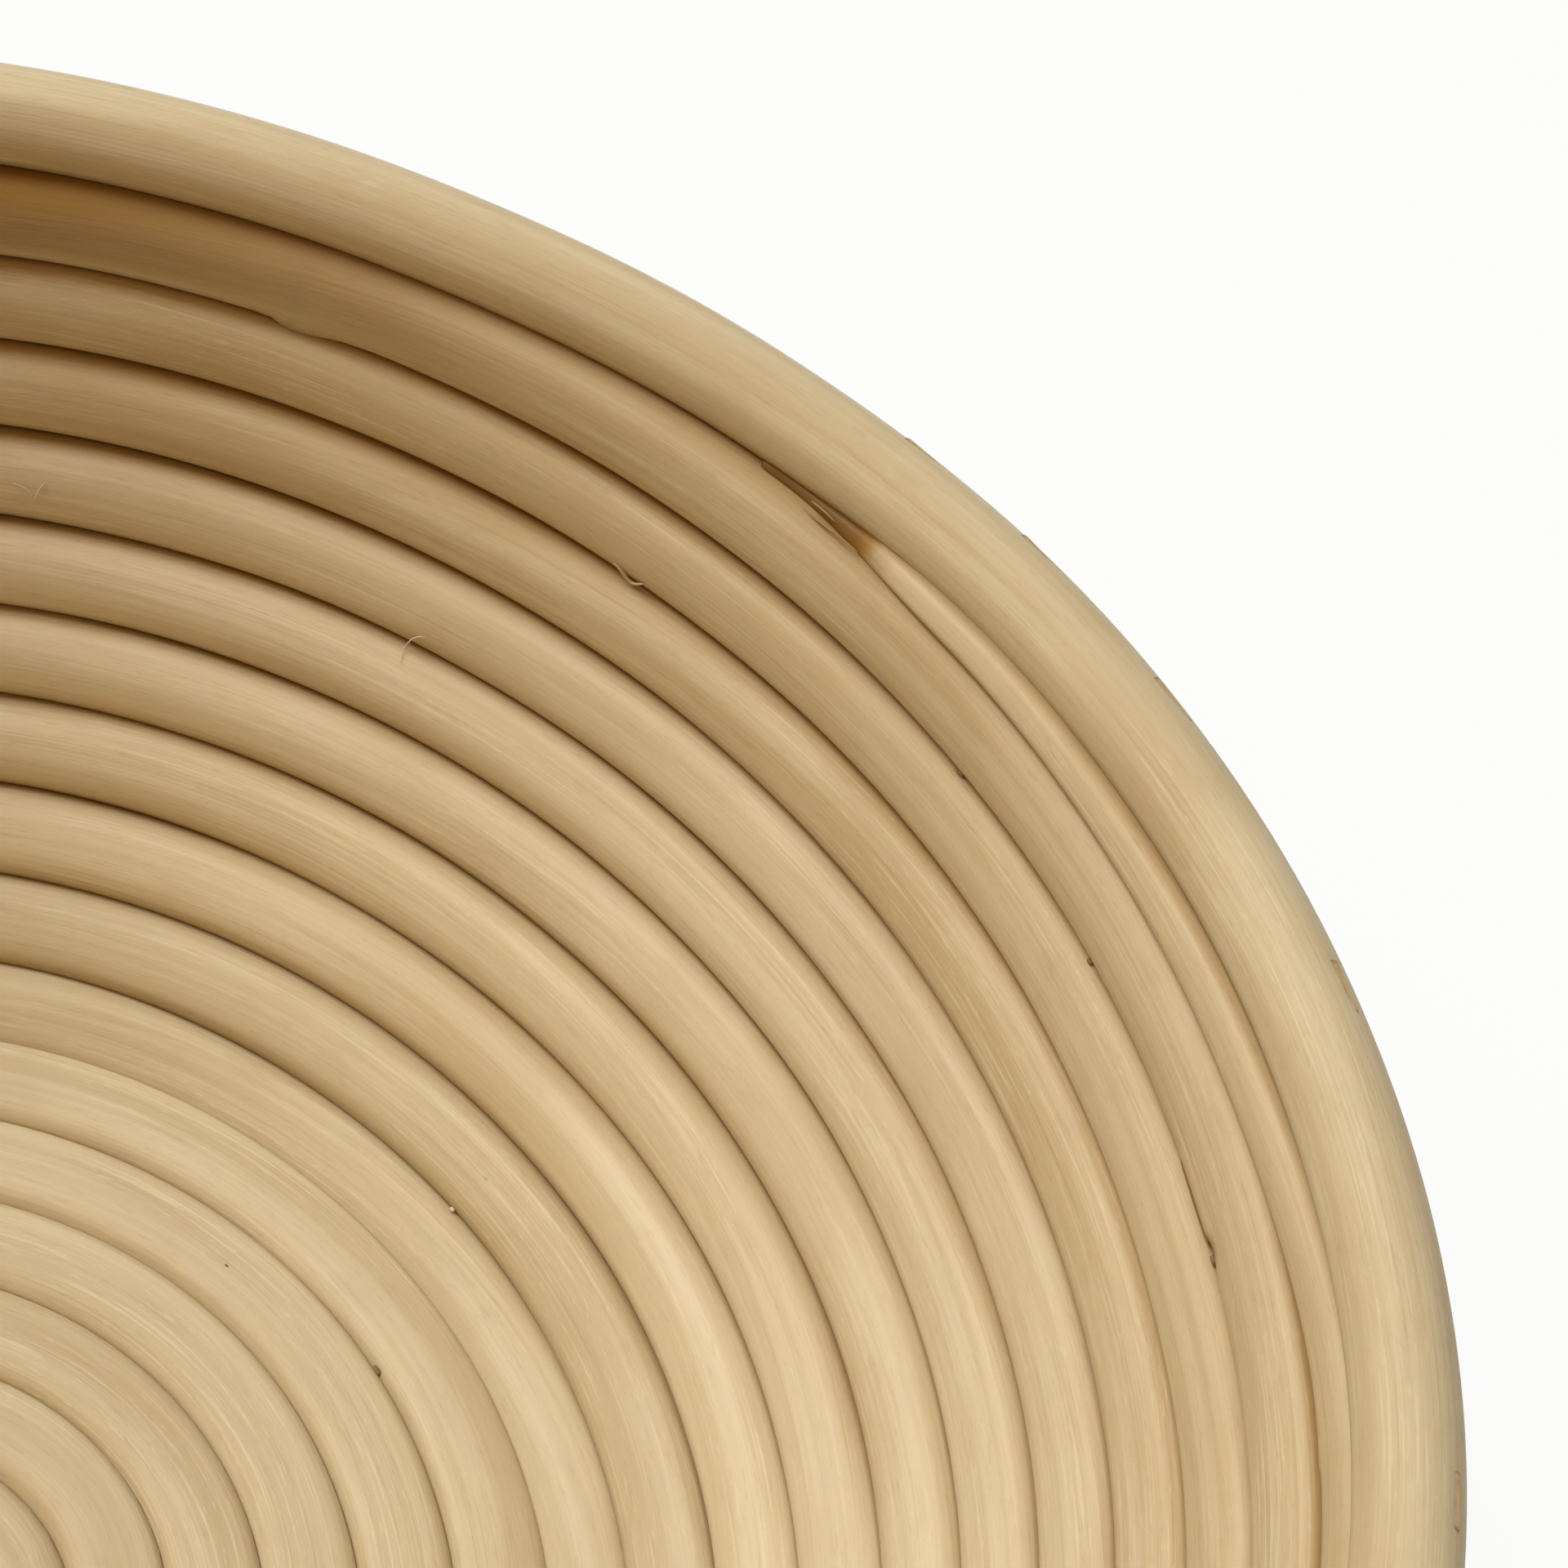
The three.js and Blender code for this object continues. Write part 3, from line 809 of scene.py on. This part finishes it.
# %% Staple wire finish
def staple_finish(name, bright, dull, ends):
    """Spotted wire, with a colour of its own at both ends of the crown."""
    material, shade = new_finish(name)
    half_crown = CROWN_WIDTH / 2
    place = shade.node("Attribute", {"attribute_name": "wire"}, output=1)
    spots = place.stretched(900, 1800).noise(3.0, 0.6)
    along = shade.node("SeparateXYZ", {}, {0: place})
    far_along = along.math("ABSOLUTE", along)
    colour = spots.between(0.4, 0.7).mix(bright, dull)
    colour = far_along.between(0.7 * half_crown, 0.95 * half_crown).mix(colour, ends)
    rough = 0.42 + 0.3 * spots
    surface = shade.node("BsdfPrincipled", {}, {"Base Color": colour, "Roughness": rough, "Metallic": 0.1})
    close_finish(shade, surface)
    return material


wire_finish = staple_finish("tarnished_staple_wire", srgb(192, 165, 118), srgb(176, 147, 98),
                            srgb(124, 90, 48))
print("finish of the wire", wire_finish.name)

# %% Where a crown sits
CROWN_PROUD = 0.01 * MM
STAPLE_ASIDE = 0.7 * MM


def crown_place(turn):
    """The middle of a staple's crown on the rim, and the way that it was driven, as radius and height."""
    rim_r, rim_z = (float(row[0]) for row in rim_centre(np.array([turn]))[:2])
    seat = turn if turn <= TAPER_TURN else turn - 1
    seat_r, seat_z = (float(row) for row in even_centre(seat)[:2])
    drive = np.array([seat_r - rim_r, seat_z - rim_z])
    drive = drive / np.hypot(*drive)
    outer_side = np.array([-drive[1], drive[0]])
    height = math.sqrt((RIM_RADIUS + RIM_SWELL) ** 2 - STAPLE_ASIDE ** 2) + CROWN_PROUD
    return np.array([rim_r, rim_z]) - drive * height + outer_side * STAPLE_ASIDE, drive


print("radius of the crown before the tip", round(float(crown_place(TAPER_TURN)[0][0]) / MM, 1), "mm")

# %% Rim staples
RIM_STAPLE_ANGLES = [-1.2, 22.4, 37.9, 46.8, 53.6, 112, 142, 172, 202, 256, 284, 312, 338]


def rim_staple(number, degrees):
    """One staple, with its crown along the rim and its legs toward the turn that carries the rim."""
    angle = math.radians(degrees)
    crown, drive = crown_place(float(turn_at(angle)))
    outline = staple_outline()
    count = len(outline)
    both = np.concatenate([outline, outline])
    across = np.repeat([-WIRE_WIDTH / 2, WIRE_WIDTH / 2], count)
    r = crown[0] + drive[0] * both[:, 1] - drive[1] * across
    z = crown[1] + drive[1] * both[:, 1] + drive[0] * across
    points = np.stack([r * math.cos(angle) - both[:, 0] * math.sin(angle),
                       r * math.sin(angle) + both[:, 0] * math.cos(angle), z], axis=-1)
    sides = [(i, (i + 1) % count, (i + 1) % count + count, i + count) for i in range(count)]
    caps = [tuple(range(count)), tuple(reversed(range(count, 2 * count)))]
    name = "rim_staple_wire_%02d" % number
    mesh = bpy.data.meshes.new(name)
    mesh.from_pydata(points.tolist(), [], sides + caps)
    wire = mesh.attributes.new("wire", "FLOAT_VECTOR", "POINT")
    place = np.stack([both[:, 0], both[:, 1], across], axis=-1)
    wire.data.foreach_set("vector", place.astype(np.float32).ravel())
    mesh.materials.append(wire_finish)
    piece = bpy.data.objects.new(name, mesh)
    bpy.context.scene.collection.objects.link(piece)
    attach(piece, "root")
    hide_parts("rim_staple_%02d" % number)


for number, degrees in enumerate(RIM_STAPLE_ANGLES, 1):
    rim_staple(number, degrees)
print("rim staples", len(RIM_STAPLE_ANGLES))

# %% Hidden staples
hidden_wire = staple_finish("hidden_staple_wire", srgb(150, 142, 128), srgb(112, 98, 78),
                            srgb(112, 98, 78))
hidden_staples = [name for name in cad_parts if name.startswith("coil_staple")]
for name in hidden_staples:
    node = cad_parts[name]
    node.data.materials.clear()
    node.data.materials.append(hidden_wire)
print("hidden staples", len(hidden_staples))

# %% [markdown]
# Loose fibres and specks
#
# Raw cane frays. A few hairs stand off it, the pared tip has split into strands, and here and there a speck
# of bark or a crumb has stuck in a groove. Each is a short strand that is laid by places on the coil: the
# turn, then millimetres up along the wall and inward from the middle of the cane.

# %% Paths beside the cane
CORNER_CUTS = 3


def on_coil(turn, up, inward):
    """A point beside the cane's middle."""
    r, z, slope = (float(row) for row in coil_centre(turn))
    out_r = r + (up * math.cos(slope) - inward * math.sin(slope)) * MM
    out_z = z + (up * math.sin(slope) + inward * math.cos(slope)) * MM
    angle = angle_of(turn)
    return out_r * math.cos(angle), out_r * math.sin(angle), out_z


def rounded_path(places):
    """Cut the corners of a path a few times, which leaves a smooth curve."""
    path = np.array([on_coil(*place) for place in places])
    for _ in range(CORNER_CUTS):
        cut = np.stack([0.75 * path[:-1] + 0.25 * path[1:], 0.25 * path[:-1] + 0.75 * path[1:]], axis=1)
        path = np.concatenate([path[:1], cut.reshape(-1, 3), path[-1:]])
    return path


print("corner cuts of a path", CORNER_CUTS)

# %% Strands
STRAND_SIDES = 6
LEAST_SHARE = 0.03


def strand(name, places, thickness, finish, shade_and_stain, pointed=1.0):
    """A thin body along a path. Pointed is 0.5 for round ends, and 1 for long sharp ones."""
    path = rounded_path(places)
    ahead = np.gradient(path, axis=0)
    ahead /= np.linalg.norm(ahead, axis=1, keepdims=True)
    side = np.cross(ahead, (0, 0, 1))
    side /= np.linalg.norm(side, axis=1, keepdims=True)
    above = np.cross(side, ahead)
    share = np.linspace(0, 1, len(path))
    radius = thickness * MM / 2 * np.maximum(4 * share * (1 - share), LEAST_SHARE) ** pointed
    around = np.arange(STRAND_SIDES) / STRAND_SIDES * 2 * np.pi
    cos, sin = radius[:, None] * np.cos(around), radius[:, None] * np.sin(around)
    points = path[:, None] + cos[..., None] * side[:, None] + sin[..., None] * above[:, None]
    steps = np.linalg.norm(np.diff(path, axis=0), axis=1)
    length = np.concatenate([[0], np.cumsum(steps)])
    straight = np.stack([np.repeat(length[:, None], STRAND_SIDES, axis=1), cos, sin], axis=-1)
    tint = np.full(len(path) * STRAND_SIDES, shade_and_stain)
    faces = tube_faces(len(path), STRAND_SIDES)
    piece = mesh_piece(name, points.reshape(-1, 3), faces, straight, tint, finish)


print("sides of a strand", STRAND_SIDES)

# %% Fibres: name, thickness in millimetres, how far painted dark, and the places along it
FIBRES = [
    ("looped_hair", 0.15, 0.05, [
        (12.4776, 2.6, 4.5), (12.4782, 3.95, 3.6), (13.4777, -4.0, 3.7),
        (13.4773, -3.35, 4.1), (13.4764, -2.66, 4.5), (13.4753, -2.42, 4.6)]),
    ("groove_strand", 0.4, 0.4, [
        (15.4545, -2.8, 4.4), (15.4529, -3.4, 4.0), (15.4518, -4.2, 3.4),
        (15.4508, -4.3, 3.3), (15.4492, -3.0, 4.3)]),
    ("left_hair", 0.15, 0.05, [(13.5427, 0.06, 4.85), (13.5402, -0.28, 4.95), (13.5390, -1.53, 4.8)]),
    ("right_hair", 0.15, 0.05, [(13.5391, -1.5, 4.75), (13.5386, -0.1, 5.0), (13.5379, 0.65, 4.85)]),
    ("long_splinter", 0.26, 0.9, [
        (17.4385, -1.0, -0.45), (17.4348, -1.05, -0.4), (17.4313, -0.8, 0.25),
        (17.4283, -0.6, 0.6), (17.4251, -0.6, 0.85)]),
    ("short_splinter", 0.18, 0.8, [(17.4346, 0.2, -0.2), (17.4327, 0.3, 0.1), (17.4301, 0.2, 0.45)]),
    ("nick_streak", 0.5, 1.4, [
        (NICK_TURN + 0.015, -4.2, 3.3), (NICK_TURN + 0.008, -4.3, 3.2), (NICK_TURN + 0.002, -4.1, 3.4)]),
]
for name, thickness, shade_and_stain, places in FIBRES:
    strand(name, places, thickness, coil_finish, shade_and_stain)
print("fibres", len(FIBRES))

# %% Speck finish
def speck_finish():
    """Mottled brown bark, dull all over."""
    material, shade = new_finish("bark_speck")
    place = shade.node("Attribute", {"attribute_name": "straight"}, output=1)
    mottle = place.stretched(3000, 3000).noise(2.0)
    colour = mottle.between(0.35, 0.65).mix(srgb(104, 82, 48), srgb(134, 108, 68))
    rough = 0.55 + 0.2 * mottle
    surface = shade.node("BsdfPrincipled", {}, {"Base Color": colour, "Roughness": rough})
    close_finish(shade, surface)
    return material


bark = speck_finish()
print("finish of the specks", bark.name)

# %% Specks: name, finish, place, then length and width in millimetres
SPECKS = [
    ("upper_groove_speck", bark, (15.3641, 4.35, 3.0), 0.7, 0.6),
    ("wide_groove_speck", bark, (15.3964, 4.45, 2.9), 1.0, 0.7),
    ("nick_speck", bark, (NICK_TURN, -4.1, 3.2), 1.0, 0.7),
    ("floor_groove_speck", bark, (6.3894, -4.5, 3.4), 1.2, 0.8),
    ("floor_dot", bark, (5.4429, -0.34, 4.86), 0.4, 0.22),
    ("foot_crumb", coil_finish, (8.4130, -4.3, 3.2), 0.6, 0.5),
    ("foot_fleck", coil_finish, (8.4116, 0.53, 4.72), 0.7, 0.35),
    ("corner_crumb", coil_finish, (7.3383, 4.3, 3.3), 0.5, 0.45),
]
for name, finish, (turn, up, inward), length, width in SPECKS:
    half = length * MM / 2 / (2 * math.pi * float(coil_centre(turn)[0]))
    places = [(at, up, inward) for at in (turn - half, turn, turn + half)]
    strand(name, places, width, finish, shade_and_stain=0, pointed=0.5)
print("specks", len(SPECKS))

# %% [markdown]
# The floor and the white studio
#
# The basket stands on a plain white floor, as it does in a shop's photograph. A lit floor would come out
# grey, so it is shown as white where it is looked at, straight or in a reflection. A share of real diffuse
# light keeps the basket's shadow on it. The room behind is white in the same way.

# %% Floor
FLOOR_SIZE = 3.0
WHITE_SHARE = 0.93


def background_share(shade):
    """1 where the backdrop is looked at, and 0 where it would light the basket."""
    kinds = ("Is Camera Ray", "Is Glossy Ray", "Is Transmission Ray")
    camera, glossy, through = (shade.node("LightPath", output=kind) for kind in kinds)
    return camera + glossy + through


def studio_floor():
    """A white plane that still takes the basket's shadow."""
    material, shade = new_finish("studio_floor")
    diffuse = shade.node("BsdfDiffuse", {}, {"Color": (0.86, 0.86, 0.86, 1)})
    white = shade.node("Emission", {}, {"Color": (1, 1, 1, 1), "Strength": 1.0})
    shown = WHITE_SHARE * background_share(shade)
    surface = shade.node("MixShader", {}, {0: shown, 1: diffuse, 2: white})
    close_finish(shade, surface)
    mesh = bpy.data.meshes.new("studio_floor")
    half = FLOOR_SIZE / 2
    corners = [(-half, -half, 0), (half, -half, 0), (half, half, 0), (-half, half, 0)]
    mesh.from_pydata(corners, [], [(0, 1, 2, 3)])
    mesh.materials.append(material)
    floor = bpy.data.objects.new("studio_floor", mesh)
    bpy.context.scene.collection.objects.link(floor)


studio_floor()
print("studio floor", FLOOR_SIZE, "m wide")

# %% [markdown]
# The light
#
# A broad soft lamp stands high to the left and models the grooves. Three weaker ones help it: a warm one
# from the near side, which gives the far wall its amber shade, a small low one from the right for the rim,
# and one from behind. All stand equally far from the basket. The room adds a trace of fill.

# %% Lamps: name, degrees round from +X, degrees up, size, power and colour
LAMP_DISTANCE = 2.6
LAMPS = [
    ("key_lamp", 160, 54, 1.6, 56.5, (1.0, 1.0, 0.97)),
    ("warm_lamp", 245, 60, 1.6, 14.2, (1.0, 0.52, 0.1)),
    ("side_lamp", 18, 10, 0.5, 6.6, (1.0, 1.0, 1.0)),
    ("back_lamp", 75, 60, 1.6, 7.2, (1.0, 1.0, 1.0)),
]


def lamp_place(azimuth, height):
    """A place given by the way to look from the basket."""
    flat = LAMP_DISTANCE * math.cos(math.radians(height))
    turned = math.radians(azimuth)
    return flat * math.cos(turned), flat * math.sin(turned), LAMP_DISTANCE * math.sin(math.radians(height))


def soft_lamp(name, place, size, power, colour):
    """A round lamp that faces the basket."""
    lamp = bpy.data.lights.new(name, "AREA")
    lamp.shape = "DISK"
    lamp.size = size
    lamp.energy = power
    lamp.color = colour
    stand = bpy.data.objects.new(name, lamp)
    stand.location = place
    stand.rotation_euler = Vector(place).to_track_quat("Z", "Y").to_euler()
    bpy.context.scene.collection.objects.link(stand)


for name, azimuth, height, size, power, colour in LAMPS:
    soft_lamp(name, lamp_place(azimuth, height), size, power, colour)
print("lamps", len(LAMPS))

# %% The white room
FILL_STRENGTH = 0.05
world = bpy.data.worlds.new("white_room")
world.use_nodes = True
world.node_tree.nodes.clear()
room = Shade(world.node_tree)
share = background_share(room)
fill = room.node("Background", {}, {"Color": (0.96, 0.98, 1.0, 1), "Strength": FILL_STRENGTH})
backdrop = room.node("Background", {}, {"Color": (1, 1, 1, 1), "Strength": 1.0})
room.node("OutputWorld", {}, {"Surface": room.node("MixShader", {}, {0: share, 1: fill, 2: backdrop})})
bpy.context.scene.world = world
bpy.context.scene.view_settings.view_transform = "Standard"
print("fill light", FILL_STRENGTH)

# %% [markdown]
# The camera
#
# The photograph is a close view from above the near side, with the camera turned on its axis, so that the
# rim sweeps across the picture's corner. The lens is long, so the far wall isn't much smaller than the near
# one.

# %% Camera
CAMERA_PLACE = Vector((0, -209.09, 444.43)) * MM
CAMERA_YAW = math.radians(13.199)
CAMERA_PITCH = math.radians(52.895)
CAMERA_ROLL = math.radians(21.602)
FOCAL_PIXELS = 6300
IMAGE_PIXELS = 1920
SENSOR_WIDTH = 36

camera_data = bpy.data.cameras.new("photo_camera")
camera_data.sensor_fit = "HORIZONTAL"
camera_data.sensor_width = SENSOR_WIDTH
camera_data.lens = SENSOR_WIDTH * FOCAL_PIXELS / IMAGE_PIXELS
camera_data.clip_start = 0.01
camera = bpy.data.objects.new("photo_camera", camera_data)
bpy.context.scene.collection.objects.link(camera)
ahead = Vector((math.sin(CAMERA_YAW) * math.cos(CAMERA_PITCH),
                math.cos(CAMERA_YAW) * math.cos(CAMERA_PITCH), -math.sin(CAMERA_PITCH)))
level_right = Vector((math.cos(CAMERA_YAW), -math.sin(CAMERA_YAW), 0))
level_up = level_right.cross(ahead)
right = level_right * math.cos(CAMERA_ROLL) + level_up * math.sin(CAMERA_ROLL)
up = level_up * math.cos(CAMERA_ROLL) - level_right * math.sin(CAMERA_ROLL)
turned = Matrix((right, up, -ahead)).transposed()
camera.matrix_world = Matrix.Translation(CAMERA_PLACE) @ turned.to_4x4()
bpy.context.scene.camera = camera
print("camera lens", round(camera_data.lens, 1), "mm")

# %% [markdown]
#
# The dressed basket may grow only a trace past the solid one.
